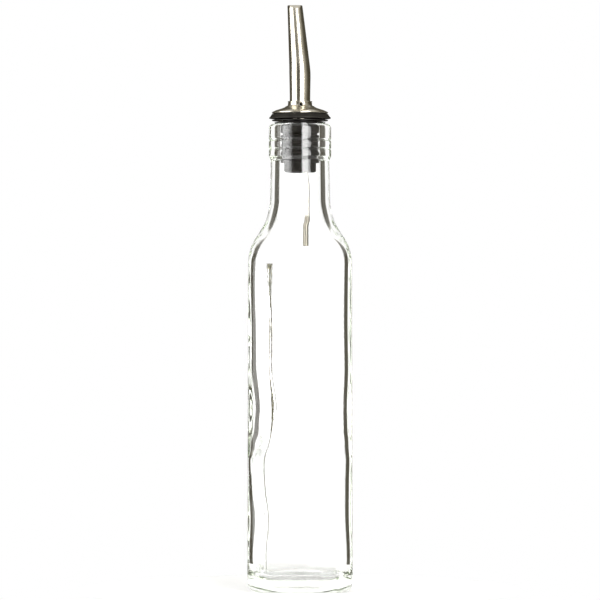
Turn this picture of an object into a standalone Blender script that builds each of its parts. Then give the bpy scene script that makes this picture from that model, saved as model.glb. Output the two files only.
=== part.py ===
"""A square glass oil bottle with a steel pourer.

The bottle stands on z = 0 with its axis on Z and its four flat sides square to X and Y. The pourer's spout leans
towards +Y, turned a few degrees as a hand leaves it. Lengths below are in millimetres and are turned into metres
where the meshes are made.
"""

import math

import bmesh
import bpy
from mathutils import Matrix, Vector

MM = 0.001
GAP = 0.3  # clearance between pieces that touch or press on each other

# Bottle, outside
BODY_WIDTH = 52.0
BODY_TOP_WIDTH = 51.3
BODY_CORNER = 7.0
HEEL_RADIUS = 5.0
BOTTLE_HEIGHT = 231.9
SHOULDER_START = 162.3
SHOULDER_RADIUS = 24.4
SHOULDER_SLOPE = 32.6  # degrees from vertical
SHOULDER_SLOPE_HEIGHT = 3.0
NECK_FILLET_RADIUS = 31.8
NECK_DRAFT = 3.0  # degrees from vertical at the foot of the neck
NECK_TOP_RADIUS = 14.5
FINISH_RADIUS = 15.5
FINISH_BOTTOM = 215.5
FINISH_CHAMFER = 1.6
FINISH_GROOVES = (219.4, 223.9)
GROOVE_WIDTH = 0.9
GROOVE_DEPTH = 0.4
LIP_RADIUS = 2.2

# Bottle, inside
WALL = 3.3
CAVITY_CORNER = 5.5
CAVITY_HEEL = 6.0
BORE_RADIUS = 10.0
NECK_WALL = 4.4
FLOOR_EDGE = 6.0
FLOOR_CENTRE = 8.5
PUNT_RADIUS = 15.0
PUNT_DEPTH = 2.5

# Stopper and washer
STOPPER_BOTTOM = 207.6
STOPPER_CORE = 8.0
STOPPER_TOP = 234.2
RIB_BOTTOM = 213.8  # underside of the ribs that grip the bore
RIB_RADIUS = BORE_RADIUS - GAP
RIB_DROOP = 1.4  # how far the lowest rib hangs below its root
RIB_GROOVES = (217.8, 221.5, 226.8)  # heights of the grooves between the ribs
RIB_GROOVE_WIDTH = 1.4
RIB_GROOVE_DEPTH = 1.0
RIB_TOP = 230.3
FIN_THICKNESS = 0.9
LIP_FIN = (12.7, BOTTLE_HEIGHT + GAP)  # edge radius, height of its underside there
UPPER_FIN = (14.0, 233.4)
FIN_RISE = 0.5  # how far a lip fin climbs from its edge to the core
WASHER_RADIUS = 15.4
WASHER_BOTTOM = STOPPER_TOP + GAP
WASHER_THICKNESS = 2.4

# Steel parts
SHANK_RADIUS = 5.1
STEEL_WALL = 0.5
SPOUT_BELLY_RADIUS = 5.3
SPOUT_TIP_RADIUS = 3.75
SPOUT_BEND_START = 253.9
SPOUT_BEND_RADIUS = 32.0
SPOUT_BEND_ANGLE = 15.0  # degrees
SPOUT_TIP = 291.6
SPOUT_TURN = 16.5  # degrees that the spout's lean is turned from +Y towards -X
CAP_RADIUS = 14.0
CAP_BOTTOM = WASHER_BOTTOM + WASHER_THICKNESS + GAP
CAP_SKIRT = 0.5
CAP_SHOULDER = 241.1
CAP_WALL = 0.6
COLLAR_RADIUS = 6.0
COLLAR_TOP = 243.3
AIR_TUBE_RADIUS = 1.4
AIR_TUBE_WALL = 0.3
VENT_RADIUS = AIR_TUBE_RADIUS * 0.75
VENT_HEIGHT = 241.5
VENT_TURN = 4.0  # degrees that the vent is turned from -Y towards +X
VENT_CUTTER_TURN = 11.0  # degrees about its own axis, so that none of its edges meets an edge of the cap
ELBOW_RADIUS = 2.2
AIR_TUBE_IN_SHANK = (2.85, -0.3)  # place across the axis, seen from above
AIR_TUBE_BELOW = (3.6, -0.4)
AIR_TUBE_KINK = 182.4
AIR_TUBE_END = 171.7

ROUND_SIDES = 32  # sides of a turned piece
TUBE_SIDES = 20  # sides of the spout
ARC_STEPS = 4


def clear_scene():
    for obj in list(bpy.data.objects):
        bpy.data.objects.remove(obj)


def make_material(name, colour, roughness, metallic=0.0, transmission=0.0):
    material = bpy.data.materials.new(name)
    material.use_nodes = True
    shader = material.node_tree.nodes["Principled BSDF"]
    shader.inputs["Base Color"].default_value = (*colour, 1.0)
    shader.inputs["Roughness"].default_value = roughness
    shader.inputs["Metallic"].default_value = metallic
    shader.inputs["Transmission Weight"].default_value = transmission
    return material


def add_object(name, mesh, material):
    mesh.materials.append(material)
    mesh.shade_smooth()
    mesh.set_sharp_from_angle(angle=math.radians(35))
    obj = bpy.data.objects.new(name, mesh)
    bpy.context.scene.collection.objects.link(obj)
    return obj


def mesh_from_bmesh(name, bm):
    bmesh.ops.recalc_face_normals(bm, faces=bm.faces)
    mesh = bpy.data.meshes.new(name)
    bm.to_mesh(mesh)
    bm.free()
    return mesh


def arc(centre, radius, start, end, steps=ARC_STEPS):
    """Points on an arc in the (radius, height) plane. Angles are in degrees from the outward direction."""
    points = []
    for step in range(steps + 1):
        angle = math.radians(start + (end - start) * step / steps)
        points.append((centre[0] + radius * math.cos(angle), centre[1] + radius * math.sin(angle)))
    return points


# ---------------------------------------------------------------- bottle


def section_angles():
    """Directions of the section's points: even across each flat side, closer together round each corner."""
    flat_end = math.degrees(math.atan2(BODY_WIDTH / 2 - BODY_CORNER, BODY_WIDTH / 2))
    across_flat, round_corner = 3, 3
    octant = [flat_end * i / across_flat for i in range(across_flat)]
    octant += [flat_end + (45.0 - flat_end) * i / round_corner for i in range(round_corner)]
    quarter = octant + [45.0] + [90.0 - angle for angle in reversed(octant[1:])]
    return [math.radians(90.0 * turn + angle) for turn in range(4) for angle in quarter]


def squircle_radius(angle, half_width, corner):
    """Distance from the axis to a rounded square's outline in one direction."""
    folded = angle % (math.pi / 2)
    folded = min(folded, math.pi / 2 - folded)
    flat = half_width - corner
    if math.tan(folded) <= flat / half_width:
        return half_width / math.cos(folded)
    reach = flat * (math.cos(folded) + math.sin(folded))
    return reach + math.sqrt(max(0.0, flat * flat * (math.sin(2 * folded) - 1) + corner * corner))


def smoothstep(low, high, value):
    t = min(1.0, max(0.0, (value - low) / (high - low)))
    return t * t * (3 - 2 * t)


def shoulder():
    """A convex arc, a straight slope and a concave fillet, as (half width, height) from the body to the neck."""
    points = arc((BODY_TOP_WIDTH / 2 - SHOULDER_RADIUS, SHOULDER_START), SHOULDER_RADIUS, 0, SHOULDER_SLOPE)
    angle = math.radians(SHOULDER_SLOPE)
    top = (points[-1][0] - SHOULDER_SLOPE_HEIGHT * math.tan(angle), points[-1][1] + SHOULDER_SLOPE_HEIGHT)
    centre = (top[0] + NECK_FILLET_RADIUS * math.cos(angle), top[1] + NECK_FILLET_RADIUS * math.sin(angle))
    return points + arc(centre, NECK_FILLET_RADIUS, 180 + SHOULDER_SLOPE, 180 + NECK_DRAFT)


def moved_in(curve):
    """The curve moved inwards by the wall, which grows from WALL at its first point to NECK_WALL at its last."""
    moved = []
    for i, (x, z) in enumerate(curve):
        before, after = curve[max(i - 1, 0)], curve[min(i + 1, len(curve) - 1)]
        along = Vector((after[0] - before[0], after[1] - before[1])).normalized()
        wall = WALL + (NECK_WALL - WALL) * i / (len(curve) - 1)
        moved.append((x - along.y * wall, z + along.x * wall))
    return moved


def roundness(height, corner_share):
    """From a square section's corner share below the shoulder to 1, a circle, above it."""
    return corner_share + (1 - corner_share) * smoothstep(SHOULDER_START - 2, SHOULDER_START + 24, height)


def groove(height):
    """One shallow ring groove in the finish."""
    half = GROOVE_WIDTH / 2
    floor = FINISH_RADIUS - GROOVE_DEPTH
    return [
        (FINISH_RADIUS, height - half),
        (floor, height - half / 3),
        (floor, height + half / 3),
        (FINISH_RADIUS, height + half),
    ]


def bottle_outside():
    """The outside from the bearing face up to the lip, as (half width, corner radius, height)."""
    half = BODY_WIDTH / 2
    heel = arc((half - HEEL_RADIUS, HEEL_RADIUS), HEEL_RADIUS, -90, 0)
    rings = [(x, BODY_CORNER - (half - x) * 0.4, z) for x, z in heel]
    for x, z in shoulder():
        rings.append((x, x * roundness(z, BODY_CORNER / half), z))
    turned_part = [(NECK_TOP_RADIUS, FINISH_BOTTOM - FINISH_CHAMFER), (FINISH_RADIUS, FINISH_BOTTOM)]
    for height in FINISH_GROOVES:
        turned_part += groove(height)
    turned_part += arc(
        (FINISH_RADIUS - LIP_RADIUS, BOTTLE_HEIGHT - LIP_RADIUS), LIP_RADIUS, 0, 90
    )
    return rings + [(x, x, z) for x, z in turned_part]


def bottle_inside():
    """The inside from the lip down to the edge of the floor, as (half width, corner radius, height)."""
    mouth = [(BORE_RADIUS + 0.8, BOTTLE_HEIGHT), (BORE_RADIUS, BOTTLE_HEIGHT - 1.0)]
    rings = [(x, x, z) for x, z in mouth]
    half = BODY_WIDTH / 2 - WALL
    for x, z in reversed(moved_in(shoulder())):
        rings.append((x, x * roundness(z, CAVITY_CORNER / half), z))
    heel = arc((half - CAVITY_HEEL, FLOOR_EDGE + CAVITY_HEEL), CAVITY_HEEL, 0, -90)
    rings += [(x, CAVITY_CORNER, z) for x, z in heel]
    return rings


def build_bottle(material):
    bm = bmesh.new()
    angles = section_angles()

    def ring(half_width, corner, height):
        verts = []
        for angle in angles:
            radius = squircle_radius(angle, half_width, corner)
            point = Vector((radius * math.cos(angle), radius * math.sin(angle), height))
            verts.append(bm.verts.new(point * MM))
        return verts

    punt = [(PUNT_RADIUS * share, PUNT_DEPTH * (1 - share * share)) for share in (0.5, 1.0)]
    floor_radius = BODY_WIDTH / 2 - WALL - CAVITY_HEEL
    floor = [
        (floor_radius * share, FLOOR_CENTRE + (FLOOR_EDGE - FLOOR_CENTRE) * share * share)
        for share in (0.8, 0.4)
    ]
    rings = [ring(x, x, z) for x, z in punt]
    rings += [ring(*values) for values in bottle_outside() + bottle_inside()]
    rings += [ring(x, x, z) for x, z in floor]
    for lower, upper in zip(rings, rings[1:]):
        for i in range(len(angles)):
            j = (i + 1) % len(angles)
            bm.faces.new((lower[i], lower[j], upper[j], upper[i]))
    for edge, height in ((rings[0], PUNT_DEPTH), (rings[-1], FLOOR_CENTRE)):
        centre = bm.verts.new((0, 0, height * MM))
        for i in range(len(angles)):
            bm.faces.new((edge[i], edge[(i + 1) % len(angles)], centre))
    return add_object("glass_bottle", mesh_from_bmesh("glass_bottle", bm), material)


# ---------------------------------------------------------------- turned pieces


def build_turned(name, outline, material, sides=ROUND_SIDES):
    """Spins a closed outline of (radius, height) points once round Z."""
    bm = bmesh.new()
    verts = [bm.verts.new((x * MM, 0, z * MM)) for x, z in outline]
    edges = [bm.edges.new((a, b)) for a, b in zip(verts, verts[1:] + verts[:1])]
    bmesh.ops.spin(
        bm, geom=verts + edges, cent=(0, 0, 0), axis=(0, 0, 1), angle=math.tau, steps=sides, use_merge=True
    )
    return add_object(name, mesh_from_bmesh(name, bm), material)


def stopper_outline():
    """Bore, bottom chamfer, gripping ribs in the neck, then two drooping fins over the lip."""
    bore = SHANK_RADIUS + GAP
    half = RIB_GROOVE_WIDTH / 2
    points = [(bore, STOPPER_TOP), (bore, STOPPER_BOTTOM), (STOPPER_CORE - 1.0, STOPPER_BOTTOM)]
    points += [(STOPPER_CORE, STOPPER_BOTTOM + 1.3), (STOPPER_CORE, RIB_BOTTOM)]
    points.append((RIB_RADIUS, RIB_BOTTOM - RIB_DROOP))
    for height in RIB_GROOVES:
        points += [
            (RIB_RADIUS, height - half),
            (RIB_RADIUS - RIB_GROOVE_DEPTH, height - half * 0.4),
            (RIB_RADIUS - RIB_GROOVE_DEPTH, height + half * 0.4),
            (RIB_RADIUS, height + half),
        ]
    points += [(RIB_RADIUS, RIB_TOP), (STOPPER_CORE + 0.6, RIB_TOP + 0.8)]
    for edge, underside in (LIP_FIN, UPPER_FIN):
        inner = STOPPER_CORE + 0.6
        points += [
            (inner, underside + FIN_RISE * 0.4),
            (edge, underside),
            (edge, underside + FIN_THICKNESS * 0.7),
            (inner, min(underside + FIN_THICKNESS + FIN_RISE * 0.5, STOPPER_TOP)),
        ]
    points[-1] = (STOPPER_CORE + 2.0, STOPPER_TOP)
    return points


def washer_outline():
    """A flat disc whose top edge is bevelled."""
    bore = SHANK_RADIUS + GAP
    top = WASHER_BOTTOM + WASHER_THICKNESS
    return [
        (bore, top),
        (bore, WASHER_BOTTOM),
        (WASHER_RADIUS - 0.7, WASHER_BOTTOM),
        (WASHER_RADIUS, WASHER_BOTTOM + 0.6),
        (WASHER_RADIUS - 1.5, top),
    ]


def cap_outside():
    """Skirt, dome and collar from the rim up."""
    rim_top = CAP_BOTTOM + CAP_SKIRT
    dome = [
        (CAP_RADIUS, CAP_BOTTOM),
        (CAP_RADIUS, rim_top),
        (CAP_RADIUS - 0.7, rim_top + 0.65),
        (CAP_RADIUS - 2.4, rim_top + 1.4),
        (CAP_RADIUS - 5.0, rim_top + 2.2),
        (CAP_RADIUS - 7.0, CAP_SHOULDER - 0.3),
        (COLLAR_RADIUS, CAP_SHOULDER + 0.4),
        (COLLAR_RADIUS, COLLAR_TOP - 0.3),
        (COLLAR_RADIUS - 0.2, COLLAR_TOP),
    ]
    return dome


def cap_outline():
    """The pressed cap: its outside, then the same shape a wall's thickness inside it."""
    bore = SHANK_RADIUS + GAP
    outside = cap_outside()
    inside = [(bore, COLLAR_TOP), (bore, CAP_SHOULDER - 0.8)]
    inside += [(x - CAP_WALL * 0.4, z - CAP_WALL) for x, z in reversed(outside[2:5])]
    inside += [(CAP_RADIUS - CAP_WALL, CAP_BOTTOM + CAP_SKIRT - CAP_WALL * 0.5)]
    inside += [(CAP_RADIUS - CAP_WALL, CAP_BOTTOM)]
    return outside + inside


# ---------------------------------------------------------------- tubes


def build_tube(name, centreline, radii, wall, material, sides, top=None):
    """A tube with open ends along a list of points, cut level at the height top when one is given."""
    bm = bmesh.new()
    places = [Vector(point) for point in centreline]
    across = Vector((1, 0, 0))
    walls = []
    for inset in (0.0, wall):
        rings = []
        for i, (place, radius) in enumerate(zip(places, radii)):
            before = places[max(i - 1, 0)]
            after = places[min(i + 1, len(places) - 1)]
            direction = (after - before).normalized()
            side = (across - direction * across.dot(direction)).normalized()
            front = direction.cross(side)
            ring = []
            for k in range(sides):
                turn = math.tau * k / sides
                spoke = (side * math.cos(turn) + front * math.sin(turn)) * (radius - inset)
                point = place + spoke
                if top is not None and i == len(places) - 1:
                    point += direction * (top - point.z) / direction.z
                ring.append(bm.verts.new(point * MM))
            rings.append(ring)
        walls.append(rings)
    outer, inner = walls
    loop = outer + inner[::-1]
    for lower, upper in zip(loop, loop[1:] + loop[:1]):
        for i in range(sides):
            j = (i + 1) % sides
            bm.faces.new((lower[i], lower[j], upper[j], upper[i]))
    return add_object(name, mesh_from_bmesh(name, bm), material)


def cut(obj, cutter):
    boolean = obj.modifiers.new("cut " + cutter.name, "BOOLEAN")
    boolean.operation = "DIFFERENCE"
    boolean.object = cutter


def turned(place, turn):
    """A place in the YZ plane, turned about Z by some degrees."""
    return Matrix.Rotation(math.radians(turn), 3, "Z") @ Vector(place)


def spout_centreline():
    """Straight shank and root, a bend towards +Y, then a straight run to the mouth's height."""
    bend = math.radians(SPOUT_BEND_ANGLE)
    points = [(0, 0, z) for z in (STOPPER_BOTTOM + 0.4, CAP_SHOULDER - 4, COLLAR_TOP, SPOUT_BEND_START)]
    for step in range(1, ARC_STEPS + 1):
        angle = bend * step / ARC_STEPS
        reach = SPOUT_BEND_RADIUS * (1 - math.cos(angle))
        points.append((0, reach, SPOUT_BEND_START + SPOUT_BEND_RADIUS * math.sin(angle)))
    last = Vector(points[-1])
    direction = Vector((0, math.sin(bend), math.cos(bend)))
    run = (SPOUT_TIP - last.z) / direction.z
    points += [last + direction * run * share for share in (0.35, 0.7, 1.0)]
    return [turned(point, SPOUT_TURN) for point in points]


def spout_radius(height):
    """The shank's radius, a little more in the belly under the bend, then an even taper to the mouth."""
    belly_height = SPOUT_BEND_START + 4
    if height <= COLLAR_TOP:
        return SHANK_RADIUS
    if height <= belly_height:
        rise = smoothstep(COLLAR_TOP, belly_height, height)
        return SHANK_RADIUS + (SPOUT_BELLY_RADIUS - SHANK_RADIUS) * rise
    share = (height - belly_height) / (SPOUT_TIP - belly_height)
    return SPOUT_BELLY_RADIUS + (SPOUT_TIP_RADIUS - SPOUT_BELLY_RADIUS) * share


def build_vent_cutter(material):
    """A cylinder along Y that opens the front of the spout and of the collar for the air tube."""
    bm = bmesh.new()
    bmesh.ops.create_cone(
        bm,
        cap_ends=True,
        segments=12,
        radius1=(VENT_RADIUS + GAP) * MM,
        radius2=(VENT_RADIUS + GAP) * MM,
        depth=5.0 * MM,
    )
    cutter = add_object("vent_cutter", mesh_from_bmesh("vent_cutter", bm), material)
    cutter.rotation_euler = (math.radians(90), math.radians(VENT_CUTTER_TURN), math.radians(VENT_TURN))
    cutter.location = turned((0, -(SHANK_RADIUS + 0.4), VENT_HEIGHT), VENT_TURN) * MM
    cutter.hide_render = True
    cutter.display_type = "WIRE"
    return cutter


def build_spout(material, cutter):
    centreline = spout_centreline()
    radii = [spout_radius(place[2]) for place in centreline]
    obj = build_tube("pour_spout", centreline, radii, STEEL_WALL, material, TUBE_SIDES, top=SPOUT_TIP)
    cut(obj, cutter)
    return obj


def air_tube_route():
    """From the vent, round an elbow into the shank, out below the stopper, past a kink, to the open lower end."""
    elbow = (-SHANK_RADIUS + 0.7, VENT_HEIGHT - ELBOW_RADIUS)
    points = [turned((0, -(COLLAR_RADIUS + 0.3), VENT_HEIGHT), VENT_TURN)]
    points += [turned((0, y, z), VENT_TURN) for y, z in arc(elbow, ELBOW_RADIUS, 90, 0)]
    points += [
        (*AIR_TUBE_IN_SHANK, VENT_HEIGHT - 14.0),
        (*AIR_TUBE_IN_SHANK, STOPPER_BOTTOM + 0.5),
        (*AIR_TUBE_BELOW, STOPPER_BOTTOM - 7.0),
        (*AIR_TUBE_BELOW, AIR_TUBE_KINK + 1.5),
        (*AIR_TUBE_IN_SHANK, AIR_TUBE_KINK - 2.5),
        (*AIR_TUBE_IN_SHANK, AIR_TUBE_END),
    ]
    return points


def build_air_tube(material):
    route = air_tube_route()
    in_elbow = ARC_STEPS + 2
    radii = [VENT_RADIUS] * in_elbow + [AIR_TUBE_RADIUS] * (len(route) - in_elbow)
    build_tube("air_tube", route, radii, AIR_TUBE_WALL, material, 10)


def main():
    clear_scene()
    glass = make_material("clear_glass", (0.93, 0.96, 0.93), 0.02, transmission=1.0)
    rubber = make_material("dark_stopper", (0.03, 0.03, 0.03), 0.35)
    black = make_material("black_rubber", (0.012, 0.012, 0.012), 0.55)
    steel = make_material("polished_steel", (0.62, 0.60, 0.57), 0.12, metallic=1.0)
    drawn_steel = make_material("drawn_steel", (0.50, 0.46, 0.40), 0.35, metallic=1.0)

    build_bottle(glass)
    build_turned("rubber_stopper", stopper_outline(), rubber)
    build_turned("sealing_washer", washer_outline(), black)
    vent_cutter = build_vent_cutter(steel)
    cap = build_turned("dome_cap", cap_outline(), steel)
    cut(cap, vent_cutter)
    build_spout(steel, vent_cutter)
    build_air_tube(drawn_steel)


main()
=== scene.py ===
"""The looks of the square glass oil bottle with its steel pourer.

Lengths are in millimetres, and are turned into metres where the meshes are made. Each piece's top,
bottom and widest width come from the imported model's boxes.
"""

import math

import bmesh
import bpy
from mathutils import Matrix, Vector, noise


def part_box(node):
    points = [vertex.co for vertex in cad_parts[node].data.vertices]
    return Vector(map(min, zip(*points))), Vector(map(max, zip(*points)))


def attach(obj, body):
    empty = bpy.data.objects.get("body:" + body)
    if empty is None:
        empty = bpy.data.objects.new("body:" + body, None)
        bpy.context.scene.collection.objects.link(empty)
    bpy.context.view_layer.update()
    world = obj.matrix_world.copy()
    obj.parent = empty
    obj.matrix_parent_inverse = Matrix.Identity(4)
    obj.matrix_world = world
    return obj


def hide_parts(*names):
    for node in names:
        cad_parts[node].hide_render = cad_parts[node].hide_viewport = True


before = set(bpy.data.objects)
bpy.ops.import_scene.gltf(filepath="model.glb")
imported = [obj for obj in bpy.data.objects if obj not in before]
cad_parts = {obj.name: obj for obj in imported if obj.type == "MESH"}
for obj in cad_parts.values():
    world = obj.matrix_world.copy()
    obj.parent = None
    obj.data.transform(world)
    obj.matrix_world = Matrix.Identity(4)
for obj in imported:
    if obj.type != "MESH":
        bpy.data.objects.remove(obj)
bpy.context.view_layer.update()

MM = 0.001
SKIN = 0.02  # how far a made piece stays inside the solid that it stands for


def box_mm(node):
    low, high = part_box(node)
    return low / MM, high / MM


BOTTLE_HIGH = box_mm("glass_bottle")[1]
STOPPER_LOW, STOPPER_HIGH = box_mm("rubber_stopper")
WASHER_LOW, WASHER_HIGH = box_mm("sealing_washer")
CAP_LOW, CAP_HIGH = box_mm("dome_cap")
SPOUT_LOW, SPOUT_HIGH = box_mm("pour_spout")
TUBE_LOW = box_mm("air_tube")[0]

# Bottle
BODY_HALF = BOTTLE_HIGH.x - SKIN
BODY_TOP_HALF = BODY_HALF - 0.35
BODY_CORNER = 7.0
FRONT_LEFT_EXTRA = 2.7  # the front left corner is rounder than the other three
HEEL_RADIUS = 5.0
HEEL_CORNER_SHARE = 0.4  # how much the corner's radius shrinks as the heel turns under
LIP_TOP = BOTTLE_HIGH.z - SKIN
SHOULDER_START = 162.3
SHOULDER_RADIUS = 24.4
SHOULDER_SLOPE = 32.6
SHOULDER_SLOPE_HEIGHT = 3.0
SHOULDER_TURNS_ROUND = (SHOULDER_START - 2, SHOULDER_START + 24)
NECK_FILLET_RADIUS = 31.8
NECK_DRAFT = 3.0
NECK_TOP_RADIUS = 14.5
FINISH_RADIUS = 15.5 - SKIN
FINISH_BOTTOM = 215.5
FINISH_CHAMFER = 1.6
FINISH_ROOT_FILLET = 0.5
FINISH_EDGE_RADIUS = 0.6
FINISH_GROOVES = (219.4, 223.9)
GROOVE_HALF_WIDTH = 0.65
GROOVE_DEPTH = 0.45
LIP_RADIUS = 2.2
WALL = 3.3
NECK_WALL = 4.4
CAVITY_CORNER = 5.5
CAVITY_HEEL = 6.0
BORE_RADIUS = 10.0
MOUTH_EDGE_RADIUS = 0.9
FLOOR_EDGE = 6.0
FLOOR_CENTRE = 8.5
PUNT_RADIUS = 15.0
PUNT_DEPTH = 2.5

# Points round and up the bottle
SIDES_PER_QUARTER = 40
BODY_RINGS = 60
CAVITY_RINGS = 70
BORE_RINGS = 16
FLOOR_RINGS = 8

# The inner wall's waves, strongest at the front left corner: how far it stands in, by height
WALL_WAVE = (
    (6, -0.8), (18, -1.1), (36, -0.1), (51, -1.1), (65, -1.9), (73, 0.0), (82, 1.8),
    (91, 2.4), (112, 0.6), (131, 0.6), (160, 0.0), (190, 0.0),
)
WAVE_CORNER = math.radians(225)
WAVE_EVERYWHERE = 0.2
WAVE_FOOT = (4, 14)
WAVE_HEAD = (165, 185)
RIPPLE_HEIGHT = 0.5
RIPPLE_SCALE = 0.06

# A fold left by the mould runs up the inside of the front wall: place across the front, by height
FOLD_PLACE = (
    (8, -16.4), (18, -16.7), (36, -15.6), (50, -17.0), (63, -17.6), (72, -15.7), (81, -14.0),
    (90, -13.4), (112, -14.6), (131, -14.6), (160, -15.0),
)
FOLD_REACH = (-20.0, -11.0)
FOLD_STEPS = 60
FOLD_FOOT = (6, 12)
FOLD_TOP = 163.0
FOLD_GROWS = (76, 92)  # below it is a thin line, above it is a ragged ridge
FOLD_HALF_WIDTH = (0.28, 0.60)
FOLD_HEIGHT = (0.30, 0.70)
FOLD_RAGGEDNESS = 0.5

# Painted shade: a dark colour painted on the glass along the fold, standing in for the dark that the fold
# shows by refraction; in metres where they are places
FOLD_PAINTED_SHADE = (0.020, 0.017, 0.006)
PAINTED_SHADE_HALF_WIDTH = (0.55 * MM, 0.95 * MM)
PAINTED_SHADE_SHARE = (0.35, 1.2)  # of the half width, below and above where the fold grows
PAINTED_SHADE_WIDENS = (128 * MM, 160 * MM)
PAINTED_SHADE_SHARE_AT_TOP = 2.4
PAINTED_SHADE_SOFT_EDGE = 0.55
PAINTED_SHADE_DEPTH = (-24.6 * MM, -24.2 * MM, -16 * MM, -15 * MM)  # on the inner face only
PAINTED_SHADE_FOOT = (10 * MM, 14 * MM)

# Plug
PLUG_CORE = 8.0
PLUG_FOOT_RADIUS = 1.2
RIB_BOTTOM = 213.8
RIB_TOP = 230.3
RIB_DROOP = 1.1
RIB_EDGE_RADIUS = 0.25
RIB_GROOVES = (217.8, 221.5, 226.8)
RIB_GROOVE_RADIUS = 0.45
RIB_GROOVE_REACH = 0.95  # from a groove's middle to its edges
LIP_FINS = ((12.7, LIP_TOP + 0.34), (14.0 - SKIN, 233.44))  # (edge radius, underside) of each

# Pourer
SHANK_RADIUS = 5.1
SPOUT_WALL = 0.5
SPOUT_BELLY_RADIUS = 5.3
SPOUT_BELLY_RISE = 4
SPOUT_TIP_RADIUS = 3.75
SPOUT_BEND_START = 253.9
SPOUT_BEND_RADIUS = 32.0
SPOUT_BEND_ANGLE = 15.0
SPOUT_TURN = 16.5  # degrees that the lean is turned from +Y towards -X
SPOUT_LEVELLED = 9.0  # how much of the spout's end is sheared to make its mouth level
CAP_WALL = 0.6
CAP_RIM_RADIUS = 0.4
CAP_DOME = ((0.9, 1.05), (2.0, 1.55), (3.4, 2.0), (5.0, 2.5), (6.2, 3.0))  # (in from the rim, up)
CAP_DOME_TOP = 3.6
COLLAR_FOOT = 241.1
COLLAR_FILLET = 0.9
COLLAR_RADIUS = 6.0
COLLAR_TOP = CAP_HIGH.z - SKIN
VENT_TURN = 4.0  # degrees that the vent is turned from -Y towards +X
VENT_TILT = 11.0
VENT_HEIGHT = 241.5
VENT_RADIUS = 1.05
VENT_HOLE_RADIUS = VENT_RADIUS + 0.2
AIR_TUBE_RADIUS = 1.4
AIR_TUBE_WALL = 0.3
AIR_TUBE_ELBOW = 2.2
AIR_TUBE_IN_SHANK = (2.85, -0.3)
AIR_TUBE_BELOW = (3.6, -0.4)
AIR_TUBE_KINK = 182.4
GAP = 0.3


# ---------------------------------------------------------------- mesh helpers


def arc(centre, radius, start, end, steps):
    """Points on an arc in the (radius, height) plane, angles in degrees from the outward direction."""
    points = []
    for step in range(steps + 1):
        angle = math.radians(start + (end - start) * step / steps)
        points.append((centre[0] + radius * math.cos(angle), centre[1] + radius * math.sin(angle)))
    return points


def line(start, end, steps):
    """Even points from start up to, and without, end."""
    return [
        tuple(a + (b - a) * step / steps for a, b in zip(start, end)) for step in range(steps)
    ]


def smoothstep(low, high, value):
    t = min(1.0, max(0.0, (value - low) / (high - low)))
    return t * t * (3 - 2 * t)


def interpolate(table, value):
    """Smooth value between the (place, value) pairs of a short table."""
    if value <= table[0][0]:
        return table[0][1]
    for (a, first), (b, second) in zip(table, table[1:]):
        if value <= b:
            return first + (second - first) * smoothstep(a, b, value)
    return table[-1][1]


def skin_rings(bm, rings):
    """Faces between each ring of vertices and the next."""
    for lower, upper in zip(rings, rings[1:]):
        for i in range(len(lower)):
            j = (i + 1) % len(lower)
            bm.faces.new((lower[i], lower[j], upper[j], upper[i]))


def finish_mesh(name, bm, material, sharp=40.0):
    """Turns a bmesh into a smooth object whose edges are sharp above an angle in degrees."""
    bmesh.ops.recalc_face_normals(bm, faces=bm.faces)
    mesh = bpy.data.meshes.new(name)
    bm.to_mesh(mesh)
    bm.free()
    mesh.materials.append(material)
    mesh.shade_smooth()
    mesh.set_sharp_from_angle(angle=math.radians(sharp))
    obj = bpy.data.objects.new(name, mesh)
    bpy.context.scene.collection.objects.link(obj)
    return obj


def turned(name, outline, material, sides=128):
    """Spins a closed outline of (radius, height) points round the vertical axis."""
    bm = bmesh.new()
    rings = []
    for radius, height in outline:
        ring = []
        for i in range(sides):
            angle = math.tau * i / sides
            place = Vector((radius * math.cos(angle), radius * math.sin(angle), height))
            ring.append(bm.verts.new(place * MM))
        rings.append(ring)
    skin_rings(bm, rings + rings[:1])
    return finish_mesh(name, bm, material)


def tube_along(name, places, radii, wall, material, sides, rim):
    """A tube with ends rounded by rim along a list of places, its inner wall following the outer one."""
    points = [Vector(place) for place in places]
    frames = []
    for i, place in enumerate(points):
        direction = (points[min(i + 1, len(points) - 1)] - points[max(i - 1, 0)]).normalized()
        side = (Vector((1, 0, 0)) - direction * direction.x).normalized()
        frames.append((place, direction, side, direction.cross(side)))
    last = len(radii) - 1
    shifts = [rim] + [0.0] * (last - 1) + [-rim]
    # Up the outside, over the far end, down the inside, and round the near end
    loop = [(i, shifts[i], radii[i]) for i in range(last + 1)]
    loop += [(last, 0.0, radii[last] - rim), (last, 0.0, radii[last] - wall + rim)]
    loop += [(i, shifts[i], radii[i] - wall) for i in range(last, -1, -1)]
    loop += [(0, 0.0, radii[0] - wall + rim), (0, 0.0, radii[0] - rim)]
    bm = bmesh.new()
    rings = []
    for index, shift, radius in loop:
        place, direction, side, front = frames[index]
        ring = []
        for k in range(sides):
            turn = math.tau * k / sides
            spoke = (side * math.cos(turn) + front * math.sin(turn)) * radius
            ring.append(bm.verts.new((place + direction * shift + spoke) * MM))
        rings.append(ring)
    skin_rings(bm, rings + rings[:1])
    return finish_mesh(name, bm, material, 50.0)


# ---------------------------------------------------------------- materials


def new_material(name):
    material = bpy.data.materials.new(name)
    material.use_nodes = True
    tree = material.node_tree
    return material, tree, tree.nodes["Principled BSDF"]


def math_node(tree, operation, first, second=None):
    """A Math node's result: first is a socket, second is a socket or a number."""
    node = tree.nodes.new("ShaderNodeMath")
    node.operation = operation
    tree.links.new(first, node.inputs[0])
    if isinstance(second, (int, float)):
        node.inputs[1].default_value = second
    elif second is not None:
        tree.links.new(second, node.inputs[1])
    return node.outputs[0]


def times(tree, first, second):
    return math_node(tree, "MULTIPLY", first, second)


def larger(tree, first, second):
    return math_node(tree, "MAXIMUM", first, second)


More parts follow.
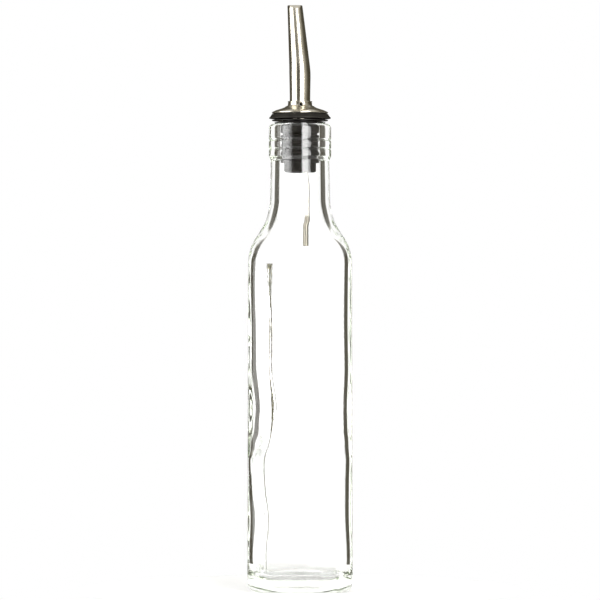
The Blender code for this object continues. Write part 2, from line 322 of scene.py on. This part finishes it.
def mapped_noise(tree, scale, detail, stretch=(1, 1, 1)):
    """Noise in the object's own coordinates."""
    place = tree.nodes.new("ShaderNodeTexCoord")
    mapping = tree.nodes.new("ShaderNodeMapping")
    mapping.inputs["Scale"].default_value = stretch
    texture = tree.nodes.new("ShaderNodeTexNoise")
    texture.inputs["Scale"].default_value = scale
    texture.inputs["Detail"].default_value = detail
    tree.links.new(place.outputs["Object"], mapping.inputs["Vector"])
    tree.links.new(mapping.outputs["Vector"], texture.inputs["Vector"])
    return texture.outputs["Fac"]


def ramp(tree, source, low, high, low_value=0.0, high_value=1.0):
    """A straight, clamped change from low_value at low to high_value at high."""
    node = tree.nodes.new("ShaderNodeMapRange")
    node.inputs["From Min"].default_value = low
    node.inputs["From Max"].default_value = high
    node.inputs["To Min"].default_value = low_value
    node.inputs["To Max"].default_value = high_value
    tree.links.new(source, node.inputs["Value"])
    return node.outputs["Result"]


def colour_between(tree, source, first, second):
    node = tree.nodes.new("ShaderNodeMix")
    node.data_type = "RGBA"
    node.inputs["A"].default_value = (*first, 1.0)
    node.inputs["B"].default_value = (*second, 1.0)
    tree.links.new(source, node.inputs["Factor"])
    return node.outputs["Result"]


def add_bump(tree, shader, height, distance, strength):
    bump = tree.nodes.new("ShaderNodeBump")
    bump.inputs["Strength"].default_value = strength
    bump.inputs["Distance"].default_value = distance
    tree.links.new(height, bump.inputs["Height"])
    tree.links.new(bump.outputs["Normal"], shader.inputs["Normal"])


def fold_shade_mask(tree):
    """Where the painted shade goes: 1 on the fold up the inside of the front wall, 0 elsewhere, with a
    ragged edge.
    """
    place = tree.nodes.new("ShaderNodeTexCoord")
    split = tree.nodes.new("ShaderNodeSeparateXYZ")
    tree.links.new(place.outputs["Object"], split.inputs[0])
    x, y, z = split.outputs
    curve = tree.nodes.new("ShaderNodeFloatCurve")
    points = curve.mapping.curves[0].points
    left, right = FOLD_REACH
    shares = [(height / FOLD_TOP, (across - left) / (right - left)) for height, across in FOLD_PLACE]
    points[0].location = (0.0, shares[0][1])
    points[1].location = (1.0, shares[-1][1])
    for share in shares:
        points.new(*share)
    curve.mapping.update()
    tree.links.new(times(tree, z, 1 / (FOLD_TOP * MM)), curve.inputs["Value"])
    fold_x = ramp(tree, curve.outputs[0], 0, 1, left * MM, right * MM)
    distance = math_node(tree, "ABSOLUTE", math_node(tree, "SUBTRACT", x, fold_x))
    ragged = ramp(tree, mapped_noise(tree, 900.0, 2.0), 0.3, 0.7, *PAINTED_SHADE_HALF_WIDTH)
    share = ramp(tree, z, FOLD_GROWS[0] * MM, FOLD_GROWS[1] * MM, *PAINTED_SHADE_SHARE)
    share = larger(tree, share, ramp(tree, z, *PAINTED_SHADE_WIDENS, 0.0, PAINTED_SHADE_SHARE_AT_TOP))
    away = math_node(tree, "DIVIDE", distance, times(tree, ragged, share))
    mask = ramp(tree, away, PAINTED_SHADE_SOFT_EDGE, 1.0, 1.0, 0.0)
    mask = times(tree, mask, ramp(tree, y, *PAINTED_SHADE_DEPTH[:2]))
    mask = times(tree, mask, ramp(tree, y, *PAINTED_SHADE_DEPTH[2:], 1.0, 0.0))
    mask = times(tree, mask, ramp(tree, z, *PAINTED_SHADE_FOOT))
    return times(tree, mask, ramp(tree, z, (FOLD_TOP - 1) * MM, FOLD_TOP * MM, 1.0, 0.0))


def glass_material():
    """Clear glass with slow waves in its face, a trace of green in its depth, and painted shade as a dark
    colour along the fold.
    """
    material, tree, shader = new_material("clear_glass")
    # Painted shade: the base colour goes dark along the fold, standing in for the dark that the fold shows
    # by refraction
    tint = colour_between(tree, fold_shade_mask(tree), (1.0, 1.0, 1.0), FOLD_PAINTED_SHADE)
    tree.links.new(tint, shader.inputs["Base Color"])
    shader.inputs["Roughness"].default_value = 0.0
    shader.inputs["IOR"].default_value = 1.52
    shader.inputs["Transmission Weight"].default_value = 1.0
    waves = mapped_noise(tree, 28.0, 1.0, (1, 1, 0.45))
    add_bump(tree, shader, waves, 0.4 * MM, 0.35)
    absorption = tree.nodes.new("ShaderNodeVolumeAbsorption")
    absorption.inputs["Color"].default_value = (0.86, 0.93, 0.78, 1.0)
    absorption.inputs["Density"].default_value = 7.0
    output = tree.nodes["Material Output"]
    tree.links.new(absorption.outputs["Volume"], output.inputs["Volume"])
    return material


def tint_by(tree, shader, source, dark, light):
    """Links a colour between dark and light, by a noise, to the base colour."""
    tint = colour_between(tree, ramp(tree, source, 0.35, 0.65), dark, light)
    tree.links.new(tint, shader.inputs["Base Color"])


def steel_material(name, dark, light, smooth, rough):
    """Drawn or spun steel: fine grain along the piece and a cloudy tint and polish."""
    material, tree, shader = new_material(name)
    shader.inputs["Metallic"].default_value = 1.0
    grain = mapped_noise(tree, 900.0, 2.0, (1, 1, 0.06))
    cloud = mapped_noise(tree, 90.0, 3.0)
    tint_by(tree, shader, cloud, dark, light)
    tree.links.new(ramp(tree, cloud, 0.3, 0.7, smooth, rough), shader.inputs["Roughness"])
    add_bump(tree, shader, grain, 0.02 * MM, 0.5)
    return material


def rubber_material(name, dark, light, roughness, grain_size, specular):
    """Dark moulded rubber with a fine grain in its colour, its finish and its face."""
    material, tree, shader = new_material(name)
    grain = mapped_noise(tree, grain_size, 4.0)
    tint_by(tree, shader, grain, dark, light)
    finish = ramp(tree, grain, 0.3, 0.7, roughness - 0.06, roughness + 0.08)
    tree.links.new(finish, shader.inputs["Roughness"])
    shader.inputs["Specular IOR Level"].default_value = specular
    add_bump(tree, shader, grain, 0.08 * MM, 0.4)
    return material


def floor_material():
    material, tree, shader = new_material("pale_floor")
    cloud = mapped_noise(tree, 6.0, 2.0)
    tint = colour_between(tree, cloud, (0.93, 0.93, 0.92), (0.95, 0.95, 0.94))
    tree.links.new(tint, shader.inputs["Base Color"])
    shader.inputs["Roughness"].default_value = 0.9
    shader.inputs["Specular IOR Level"].default_value = 0.1
    shader.inputs["Emission Color"].default_value = (1.0, 1.0, 1.0, 1.0)
    shader.inputs["Emission Strength"].default_value = 0.3
    return material


# ---------------------------------------------------------------- bottle


def section_angles():
    """Directions of a section's points: even on the flats, closer round the corners and along the fold."""
    flat_end = math.atan2(BODY_HALF - BODY_CORNER, BODY_HALF)
    half = SIDES_PER_QUARTER // 2
    in_flat = half // 2
    octant = [flat_end * i / in_flat for i in range(in_flat)]
    in_corner = half - in_flat
    octant += [flat_end + (math.pi / 4 - flat_end) * i / in_corner for i in range(in_corner)]
    quarter = octant + [math.pi / 4] + [math.pi / 2 - angle for angle in reversed(octant[1:])]
    angles = [math.pi / 2 * turn + angle for turn in range(4) for angle in quarter]
    low, high = (math.atan2(-BODY_HALF, x) % math.tau for x in FOLD_REACH)
    angles = [angle for angle in angles if not low < angle < high]
    return sorted(angles + [low + (high - low) * i / FOLD_STEPS for i in range(1, FOLD_STEPS)])


def squircle_radius(angle, half_width, corner):
    """Distance from the axis to a rounded square's outline in one direction."""
    if math.pi < angle < math.pi * 1.5:
        corner += FRONT_LEFT_EXTRA * (1 - corner / half_width)
    folded = angle % (math.pi / 2)
    folded = min(folded, math.pi / 2 - folded)
    flat = half_width - corner
    if math.tan(folded) * half_width <= flat:
        return half_width / math.cos(folded)
    reach = flat * (math.cos(folded) + math.sin(folded))
    return reach + math.sqrt(max(0.0, flat * flat * (math.sin(2 * folded) - 1) + corner * corner))


def shoulder():
    """(half width, height) from the body to the neck: a convex arc, a straight slope and a fillet."""
    points = arc((BODY_TOP_HALF - SHOULDER_RADIUS, SHOULDER_START), SHOULDER_RADIUS, 0, SHOULDER_SLOPE, 14)
    angle = math.radians(SHOULDER_SLOPE)
    x, z = points[-1]
    top = (x - SHOULDER_SLOPE_HEIGHT * math.tan(angle), z + SHOULDER_SLOPE_HEIGHT)
    points += line(points[-1], top, 4)[1:]
    centre = (top[0] + NECK_FILLET_RADIUS * math.cos(angle), top[1] + NECK_FILLET_RADIUS * math.sin(angle))
    return points + arc(centre, NECK_FILLET_RADIUS, 180 + SHOULDER_SLOPE, 180 + NECK_DRAFT, 12)


def moved_in(curve):
    """The curve moved inwards by the wall, which grows along it from WALL to NECK_WALL."""
    moved = []
    for i, (x, z) in enumerate(curve):
        before, after = curve[max(i - 1, 0)], curve[min(i + 1, len(curve) - 1)]
        along = Vector((after[0] - before[0], after[1] - before[1])).normalized()
        wall = WALL + (NECK_WALL - WALL) * i / (len(curve) - 1)
        moved.append((x - along.y * wall, z + along.x * wall))
    return moved


def groove(height):
    """A rounded ring groove in the finish."""
    points = []
    for step in range(9):
        across = -1 + step / 4
        depth = GROOVE_DEPTH * (0.5 + 0.5 * math.cos(math.pi * across)) ** 0.7
        points.append((FINISH_RADIUS - depth, height + GROOVE_HALF_WIDTH * across))
    return points


def roundness(height, corner_share):
    """From a square section's corner share below the shoulder to 1, a circle, above it."""
    return corner_share + (1 - corner_share) * smoothstep(*SHOULDER_TURNS_ROUND, height)


def bottle_outside():
    """(half width, corner, height) of each ring of points, from the base up to the lip."""
    heel = arc((BODY_HALF - HEEL_RADIUS, HEEL_RADIUS), HEEL_RADIUS, -90, 0, 14)
    rings = [(x, BODY_CORNER - (BODY_HALF - x) * HEEL_CORNER_SHARE, z) for x, z in heel]
    side = line((BODY_HALF, heel[-1][1]), (BODY_TOP_HALF, SHOULDER_START), BODY_RINGS)[1:]
    rings += [(x, BODY_CORNER, z) for x, z in side]
    curve = shoulder()
    rings += [(x, x * roundness(z, BODY_CORNER / BODY_HALF), z) for x, z in curve]
    neck_foot = curve[-1]
    neck_head = (NECK_TOP_RADIUS, FINISH_BOTTOM - FINISH_CHAMFER)
    turned_part = line(neck_foot, neck_head, 12)[1:]
    root = (neck_head[0] + FINISH_ROOT_FILLET, neck_head[1])
    turned_part += arc(root, FINISH_ROOT_FILLET, 180, 110, 4)
    edge = (FINISH_RADIUS - FINISH_EDGE_RADIUS, FINISH_BOTTOM + 0.5)
    turned_part += arc(edge, FINISH_EDGE_RADIUS, -60, 0, 5)
    for height in FINISH_GROOVES:
        turned_part += groove(height)
    turned_part += line(turned_part[-1], (FINISH_RADIUS, LIP_TOP - LIP_RADIUS), 5)[1:]
    turned_part += arc((FINISH_RADIUS - LIP_RADIUS, LIP_TOP - LIP_RADIUS), LIP_RADIUS, 0, 90, 12)
    return rings + [(x, x, z) for x, z in turned_part]


def bottle_inside():
    """The same from the mouth down to the cavity's floor."""
    half = BODY_HALF - WALL
    edge = (BORE_RADIUS + MOUTH_EDGE_RADIUS, LIP_TOP - MOUTH_EDGE_RADIUS)
    mouth = arc(edge, MOUTH_EDGE_RADIUS, 90, 180, 6)
    curve = moved_in(shoulder())
    rings = [(x, x, z) for x, z in mouth]
    rings += [(x, x, z) for x, z in line(mouth[-1], curve[-1], BORE_RINGS)[1:]]
    rings += [(x, x * roundness(z, CAVITY_CORNER / half), z) for x, z in reversed(curve)]
    heel = arc((half - CAVITY_HEEL, FLOOR_EDGE + CAVITY_HEEL), CAVITY_HEEL, 0, -90, 14)
    side = line(curve[0], heel[0], CAVITY_RINGS)[1:]
    rings += [(x, CAVITY_CORNER, z) for x, z in side + heel]
    return rings


def wall_wave(place):
    """How far a point of the inner wall is moved: most at the front left corner, a little everywhere."""
    angle = math.atan2(place.y, place.x)
    lobe = 0.5 + 0.5 * math.cos(angle - WAVE_CORNER)
    share = WAVE_EVERYWHERE + (1 - WAVE_EVERYWHERE) * lobe * lobe
    ripple = noise.noise(Vector((place.x, place.y, place.z * 0.5)) * RIPPLE_SCALE) * RIPPLE_HEIGHT
    height_share = smoothstep(*WAVE_FOOT, place.z) * (1 - smoothstep(*WAVE_HEAD, place.z))
    inward = (interpolate(WALL_WAVE, place.z) * share + ripple) * height_share
    return Vector((-place.x, -place.y, 0)).normalized() * inward


def fold_depth(place):
    """How far the fold stands out of the inside of the front wall, towards the back."""
    if place.y > -BODY_HALF + WALL * 2 or not FOLD_REACH[0] < place.x < FOLD_REACH[1]:
        return 0.0
    upper = smoothstep(*FOLD_GROWS, place.z)
    half_width = FOLD_HALF_WIDTH[0] + (FOLD_HALF_WIDTH[1] - FOLD_HALF_WIDTH[0]) * upper
    height = FOLD_HEIGHT[0] + (FOLD_HEIGHT[1] - FOLD_HEIGHT[0]) * upper
    height *= smoothstep(*FOLD_FOOT, place.z) * (1 - smoothstep(FOLD_TOP - 1.5, FOLD_TOP, place.z))
    grain = 1 + upper * FOLD_RAGGEDNESS * noise.noise(Vector((place.x, 0, place.z * 1.6)))
    across = (place.x - interpolate(FOLD_PLACE, place.z)) / half_width
    return height * grain * math.exp(-across * across)


def build_bottle(material):
    """One skin: the push-up under the base, the outside, the lip, the inside and the floor."""
    angles = section_angles()
    bm = bmesh.new()

    def ring(half_width, corner, height, inside=False):
        verts = []
        for angle in angles:
            radius = squircle_radius(angle, half_width, corner)
            place = Vector((radius * math.cos(angle), radius * math.sin(angle), height))
            if inside:
                place += wall_wave(place) + Vector((0, fold_depth(place), 0))
            verts.append(bm.verts.new(place * MM))
        return verts

    punt = []
    for i in range(1, FLOOR_RINGS + 1):
        share = i / FLOOR_RINGS
        punt.append((PUNT_RADIUS * share, PUNT_DEPTH * (1 - share * share) + SKIN))
    floor_radius = BODY_HALF - WALL - CAVITY_HEEL
    floor = []
    for i in range(FLOOR_RINGS, 0, -1):
        share = i / (FLOOR_RINGS + 1)
        floor.append((floor_radius * share, FLOOR_CENTRE + (FLOOR_EDGE - FLOOR_CENTRE) * share * share))
    rings = [ring(x, x, z) for x, z in punt]
    rings += [ring(x, corner, max(z, SKIN)) for x, corner, z in bottle_outside()]
    rings += [ring(x, corner, z, True) for x, corner, z in bottle_inside()]
    rings += [ring(x, x, z) for x, z in floor]
    skin_rings(bm, rings)
    for edge, height in ((rings[0], PUNT_DEPTH + SKIN), (rings[-1], FLOOR_CENTRE)):
        centre = bm.verts.new((0, 0, height * MM))
        for i in range(len(angles)):
            bm.faces.new((edge[i], edge[(i + 1) % len(angles)], centre))
    return finish_mesh("clear_bottle", bm, material, 60.0)


# ---------------------------------------------------------------- stopper and washer


def stopper_outline():
    """Bore, rounded lower end, thick gripping ribs in the neck, then two drooping fins over the lip."""
    bore = SHANK_RADIUS + GAP
    top = STOPPER_HIGH.z - SKIN
    bottom = STOPPER_LOW.z + SKIN
    rib = BORE_RADIUS - GAP - SKIN
    edge = rib - RIB_EDGE_RADIUS
    points = [(bore, top), (bore, bottom)]
    points += arc((PLUG_CORE - PLUG_FOOT_RADIUS, bottom + PLUG_FOOT_RADIUS), PLUG_FOOT_RADIUS, -90, 0, 6)
    points += [(PLUG_CORE, RIB_BOTTOM - 0.2), (PLUG_CORE + 0.3, RIB_BOTTOM)]
    points += arc((edge, RIB_BOTTOM - RIB_DROOP), RIB_EDGE_RADIUS, -100, 0, 5)
    for height in RIB_GROOVES:
        points += arc((edge, height - RIB_GROOVE_REACH), RIB_EDGE_RADIUS, 0, 60, 4)
        points += arc((edge - RIB_GROOVE_RADIUS, height), RIB_GROOVE_RADIUS, 250, 110, 6)
        points += arc((edge, height + RIB_GROOVE_REACH), RIB_EDGE_RADIUS, -60, 0, 4)
    points += arc((rib - 0.5, RIB_TOP - 0.5), 0.5, 0, 80, 5)
    root, inner = PLUG_CORE + 0.6, PLUG_CORE + 2.5
    points.append((root, RIB_TOP + 0.6))
    for fin_edge, underside in LIP_FINS:
        points += [(root, underside + 0.32), (inner, underside + 0.3)]
        points += arc((fin_edge - 0.25, underside + 0.27), 0.25, -80, 80, 5)
        points += [(inner, underside + 0.78), (root, underside + 0.95)]
    # The upper fin runs out into the flat top
    return points[:-2] + [(PLUG_CORE + 3.0, top - 0.02), (PLUG_CORE + 2.0, top)]


def washer_outline():
    """A thick disc with a rounded lower lip and a side that slopes in towards the cap."""
    bore = SHANK_RADIUS + GAP
    low, high, edge = WASHER_LOW.z + SKIN, WASHER_HIGH.z - SKIN, WASHER_HIGH.x - SKIN
    points = [(bore, high), (bore, low), (edge - 1.0, low)]
    points += arc((edge - 0.35, low + 0.4), 0.35, -80, 30, 6)
    points += [(edge - 0.5, low + 1.0), (edge - 0.8, low + 1.4)]
    points += arc((edge - 1.6, high - 0.4), 0.4, 20, 90, 5)
    return points


# ---------------------------------------------------------------- steel


def cap_outline():
    """A thin rolled rim, a shallow dome that steepens to a short collar, and the inside of the wall."""
    bore = SHANK_RADIUS + GAP
    rim, low = CAP_HIGH.x - SKIN, CAP_LOW.z + SKIN
    fillet_x = COLLAR_RADIUS + COLLAR_FILLET
    outside = arc((rim - CAP_RIM_RADIUS, low + CAP_RIM_RADIUS), CAP_RIM_RADIUS, -70, 30, 5)
    outside += [(rim - inset, low + rise) for inset, rise in CAP_DOME]
    outside.append((fillet_x, low + CAP_DOME_TOP))
    outside += arc((fillet_x, COLLAR_FOOT + 0.55), COLLAR_FILLET, 215, 180, 4)
    # A thin bead round the collar's upper edge
    outside += [(COLLAR_RADIUS, COLLAR_TOP - 0.9), (COLLAR_RADIUS - 0.22, COLLAR_TOP - 0.72)]
    outside += arc((COLLAR_RADIUS - 0.2, COLLAR_TOP - 0.3), 0.3, -60, 90, 7)
    inside = [(bore, COLLAR_TOP), (bore, COLLAR_FOOT - 0.8)]
    inside += [(COLLAR_RADIUS + 2.0, low + 2.2), (rim - 3.4, low + 1.4)]
    inside += [(rim - CAP_WALL - 0.6, low + 0.6), (rim - CAP_WALL, low)]
    return [(min(x, rim), z) for x, z in outside] + inside


def turned_about_axis(place, turn):
    """A place in the YZ plane, turned about Z by some degrees."""
    return Matrix.Rotation(math.radians(turn), 3, "Z") @ Vector(place)


def spout_centreline():
    """Places up the straight shank, round the bend and along the leaning end."""
    bend = math.radians(SPOUT_BEND_ANGLE)
    places = line((0, 0, SPOUT_LOW.z + SKIN), (0, 0, SPOUT_BEND_START), 24)
    steps = 16
    for step in range(steps + 1):
        angle = bend * step / steps
        reach = SPOUT_BEND_RADIUS * (1 - math.cos(angle))
        places.append((0, reach, SPOUT_BEND_START + SPOUT_BEND_RADIUS * math.sin(angle)))
    last = Vector(places[-1])
    direction = Vector((0, math.sin(bend), math.cos(bend)))
    run = (SPOUT_HIGH.z - last.z) / direction.z
    places += [last + direction * run * step / steps for step in range(1, steps + 1)]
    return [turned_about_axis(place, SPOUT_TURN) for place in places]


def spout_radius(height):
    """The spout swells a little above the collar, then tapers to its tip."""
    belly_height = SPOUT_BEND_START + SPOUT_BELLY_RISE
    if height <= belly_height:
        rise = smoothstep(COLLAR_TOP, belly_height, height)
        return SHANK_RADIUS - SKIN + (SPOUT_BELLY_RADIUS - SHANK_RADIUS) * rise
    share = (height - belly_height) / (SPOUT_HIGH.z - belly_height)
    return SPOUT_BELLY_RADIUS + (SPOUT_TIP_RADIUS - SPOUT_BELLY_RADIUS) * share - SKIN


def level_mouth(obj):
    """Shears the last rings of the spout so that its mouth is cut level."""
    bend = math.radians(SPOUT_BEND_ANGLE)
    tip = SPOUT_HIGH.z * MM
    mouth = spout_centreline()[-1] * MM
    forward = turned_about_axis((0, 1, 0), SPOUT_TURN)
    for vertex in obj.data.vertices:
        below = tip - vertex.co.z
        if below > SPOUT_LEVELLED * MM:
            continue
        weight = 1 - smoothstep(0.0, SPOUT_LEVELLED, below / MM)
        ahead = (vertex.co - mouth).dot(forward) + below * math.tan(bend)
        vertex.co.z += weight * ahead * math.sin(bend)
        vertex.co += forward * weight * ahead * math.sin(bend) * math.tan(bend)
        vertex.co.z = min(vertex.co.z, tip - SKIN * MM)


def eased(start, end, height, drop, steps):
    """Places that go smoothly across from start to end while they go down, from 0 to steps."""
    places = []
    for step in range(steps + 1):
        share = smoothstep(0, steps, step)
        places.append((*(a + (b - a) * share for a, b in zip(start, end)), height - step * drop))
    return places


def air_tube_places():
    """From the vent, round an elbow, down inside the shank, out below the plug and back at the kink."""
    places = [turned_about_axis((0.0, -(COLLAR_RADIUS + 0.2), VENT_HEIGHT), VENT_TURN)]
    elbow = arc((-SHANK_RADIUS + 0.7, VENT_HEIGHT - AIR_TUBE_ELBOW), AIR_TUBE_ELBOW, 90, 0, 10)
    places += [turned_about_axis((0.0, y, z), VENT_TURN) for y, z in elbow]
    top = places[-1]
    places += eased((top.x, top.y), AIR_TUBE_IN_SHANK, top.z, 1.1, 10)[1:]
    leaves_plug = STOPPER_LOW.z + 0.5
    places += line((*AIR_TUBE_IN_SHANK, places[-1][2]), (*AIR_TUBE_IN_SHANK, leaves_plug), 9)[1:]
    places += eased(AIR_TUBE_IN_SHANK, AIR_TUBE_BELOW, leaves_plug, 1.0, 8)
    kink_top = AIR_TUBE_KINK + 1.5
    places += line(places[-1], (*AIR_TUBE_BELOW, kink_top), 8)[1:]
    places += eased(AIR_TUBE_BELOW, AIR_TUBE_IN_SHANK, kink_top, 0.5, 8)
    end = (*AIR_TUBE_IN_SHANK, TUBE_LOW.z + SKIN)
    return places + line(places[-1], end, 8)[1:] + [end]


def air_tube_radii(places):
    """Narrow at the vent, and full below it."""
    swell = AIR_TUBE_RADIUS - VENT_RADIUS
    return [VENT_RADIUS + swell * smoothstep(0, 8, VENT_HEIGHT - 3 - z) - SKIN for x, y, z in places]


def vent_cut(obj):
    """Opens the front of a piece for the breather tube."""
    bm = bmesh.new()
    radius = VENT_HOLE_RADIUS * MM
    bmesh.ops.create_cone(bm, cap_ends=True, segments=40, radius1=radius, radius2=radius, depth=5.0 * MM)
    mesh = bpy.data.meshes.new("vent_cutter")
    bm.to_mesh(mesh)
    bm.free()
    cutter = bpy.data.objects.new("vent_cutter", mesh)
    bpy.context.scene.collection.objects.link(cutter)
    cutter.rotation_euler = (math.radians(90), math.radians(VENT_TILT), math.radians(VENT_TURN))
    cutter.location = turned_about_axis((0, -(SHANK_RADIUS + 0.4), VENT_HEIGHT), VENT_TURN) * MM
    modifier = obj.modifiers.new("vent", "BOOLEAN")
    modifier.operation = "DIFFERENCE"
    modifier.object = cutter
    bpy.context.view_layer.update()
    result = bpy.data.meshes.new_from_object(obj.evaluated_get(bpy.context.evaluated_depsgraph_get()))
    obj.modifiers.clear()
    obj.data = result
    result.shade_smooth()
    result.set_sharp_from_angle(angle=math.radians(40))
    bpy.data.objects.remove(cutter)


# ---------------------------------------------------------------- stage, light and camera


FLOOR_RADIUS = 0.11

# Azimuth of the middle, half width and edge softness of what stands round the bottle, in degrees.
# Azimuth 0 is in front of the bottle, on -Y, and grows towards +X.
KEY_BOX = (25.0, 16.0, 3.0)
KEY_LEVEL = 9.0
FILL_BOX = (-67.0, 25.0, 5.0)
FILL_LEVEL = 4.5
SIDE_CARD = (52.0, 26.0, 24.0)
SIDE_CARD_LEVEL = 0.6
BACKDROP = (180.0, 26.0, 5.0)
BACKDROP_LEVEL = 1.25

# Everything else is dark, warm cards, with a ceiling above and a white ground below
FLAG_LEVEL = 0.085
FLAG_COLOUR = (1.0, 0.92, 0.68)
CEILING_LEVEL = 0.75
CEILING_EDGE = (0.56, 0.66)  # as heights of the direction, from -1 to 1
GROUND_EDGE = (-0.5, -0.3)


def build_floor():
    bm = bmesh.new()
    bmesh.ops.create_circle(bm, cap_ends=True, segments=128, radius=FLOOR_RADIUS)
    floor = finish_mesh("floor", bm, floor_material())


def band(tree, azimuth, centre, half_width, soft):
    """1 where the direction's azimuth is within half_width degrees of centre, with soft edges."""
    offset = math_node(tree, "SUBTRACT", azimuth, math.radians(centre))
    away = math_node(tree, "ARCCOSINE", math_node(tree, "COSINE", offset))
    return ramp(tree, away, math.radians(half_width - soft), math.radians(half_width + soft), 1.0, 0.0)


def surroundings(tree, path):
    """The light's level by direction. The backdrop is only for light that has been in the glass,
    and the side card only for light that has not."""
    place = tree.nodes.new("ShaderNodeTexCoord")
    split = tree.nodes.new("ShaderNodeSeparateXYZ")
    tree.links.new(place.outputs["Generated"], split.inputs[0])
    x, y, z = split.outputs
    azimuth = math_node(tree, "ARCTAN2", x, times(tree, y, -1.0))
    in_glass = ramp(tree, path.outputs["Transmission Depth"], 0, 1)
    in_air = ramp(tree, path.outputs["Transmission Depth"], 0, 1, 1.0, 0.0)
    backdrop = times(tree, times(tree, band(tree, azimuth, *BACKDROP), BACKDROP_LEVEL), in_glass)
    card = times(tree, times(tree, band(tree, azimuth, *SIDE_CARD), SIDE_CARD_LEVEL), in_air)
    level = larger(tree, backdrop, card)
    level = larger(tree, level, times(tree, band(tree, azimuth, *KEY_BOX), KEY_LEVEL))
    level = larger(tree, level, times(tree, band(tree, azimuth, *FILL_BOX), FILL_LEVEL))
    level = larger(tree, level, FLAG_LEVEL)
    level = times(tree, level, ramp(tree, z, *CEILING_EDGE, 1.0, 0.0))
    level = larger(tree, level, times(tree, ramp(tree, z, *CEILING_EDGE), CEILING_LEVEL))
    return larger(tree, level, ramp(tree, z, *GROUND_EDGE, 1.0, 0.0))


def build_world():
    """Soft boxes and dark cards, seen in reflections, and plain white behind and through the glass."""
    world = bpy.data.worlds.new("studio")
    bpy.context.scene.world = world
    world.use_nodes = True
    tree = world.node_tree
    background = tree.nodes["Background"]
    path = tree.nodes.new("ShaderNodeLightPath")
    level = surroundings(tree, path)
    straight = path.outputs["Is Transmission Ray"]
    for depth in ("Glossy Depth", "Diffuse Depth"):
        straight = times(tree, straight, ramp(tree, path.outputs[depth], 0, 1, 1.0, 0.0))
    seen = larger(tree, path.outputs["Is Camera Ray"], straight)
    mix = tree.nodes.new("ShaderNodeMix")
    tree.links.new(seen, mix.inputs["Factor"])
    tree.links.new(level, mix.inputs["A"])
    tree.links.new(larger(tree, times(tree, straight, BACKDROP_LEVEL), 1.0), mix.inputs["B"])
    white = larger(tree, ramp(tree, level, 0.1, 0.8), seen)
    tree.links.new(colour_between(tree, white, FLAG_COLOUR, (1.0, 1.0, 1.0)), background.inputs["Color"])
    tree.links.new(mix.outputs["Result"], background.inputs["Strength"])


CAMERA_DISTANCE = 2.0
FRAME_WIDTH = 0.2988  # width seen at the bottle's axis
EYE_SHARE = 0.483  # how far up the frame's height the eye is above the floor


def build_camera():
    camera = bpy.data.cameras.new("camera")
    camera.sensor_width = 36.0
    camera.lens = camera.sensor_width * CAMERA_DISTANCE / FRAME_WIDTH
    camera.clip_start = 0.05
    obj = bpy.data.objects.new("camera", camera)
    bpy.context.scene.collection.objects.link(obj)
    obj.location = (0, -CAMERA_DISTANCE, FRAME_WIDTH * EYE_SHARE)
    obj.rotation_euler = (math.radians(90), 0, 0)
    bpy.context.scene.camera = obj


# ---------------------------------------------------------------- making


def place_piece(obj, node, body):
    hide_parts(node)
    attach(obj, body)


BOUNCES = 40  # many, because light at the glass's edges is mirrored often before it leaves


def main():
    build_camera()
    build_world()
    build_floor()
    scene = bpy.context.scene
    scene.view_settings.view_transform = "Standard"
    scene.cycles.max_bounces = BOUNCES
    scene.cycles.transmission_bounces = BOUNCES
    scene.cycles.glossy_bounces = BOUNCES

    glass = glass_material()
    steel = steel_material("polished_steel", (0.60, 0.56, 0.47), (0.68, 0.64, 0.55), 0.17, 0.24)
    drawn_steel = steel_material("drawn_steel", (0.27, 0.25, 0.20), (0.33, 0.305, 0.255), 0.36, 0.46)
    plug_dark, plug_light = (0.004, 0.0035, 0.003), (0.011, 0.009, 0.008)
    dark_stopper = rubber_material("dark_stopper", plug_dark, plug_light, 0.38, 160.0, 0.21)
    washer_dark, washer_light = (0.006, 0.005, 0.004), (0.013, 0.012, 0.009)
    black_rubber = rubber_material("black_rubber", washer_dark, washer_light, 0.5, 220.0, 0.15)

    place_piece(build_bottle(glass), "glass_bottle", "bottle")
    plug = turned("finned_stopper", stopper_outline(), dark_stopper)
    place_piece(plug, "rubber_stopper", "stopper")
    washer = turned("black_washer", washer_outline(), black_rubber)
    place_piece(washer, "sealing_washer", "stopper")
    cap = turned("steel_cap", cap_outline(), steel)
    vent_cut(cap)
    place_piece(cap, "dome_cap", "spout")

    places = spout_centreline()
    radii = [spout_radius(place.z) for place in places]
    spout = tube_along("steel_spout", places, radii, SPOUT_WALL, steel, 64, 0.15)
    level_mouth(spout)
    vent_cut(spout)
    place_piece(spout, "pour_spout", "spout")

    places = air_tube_places()
    radii = air_tube_radii(places)
    breather = tube_along("breather_tube", places, radii, AIR_TUBE_WALL, drawn_steel, 32, 0.1)
    place_piece(breather, "air_tube", "spout")


main()
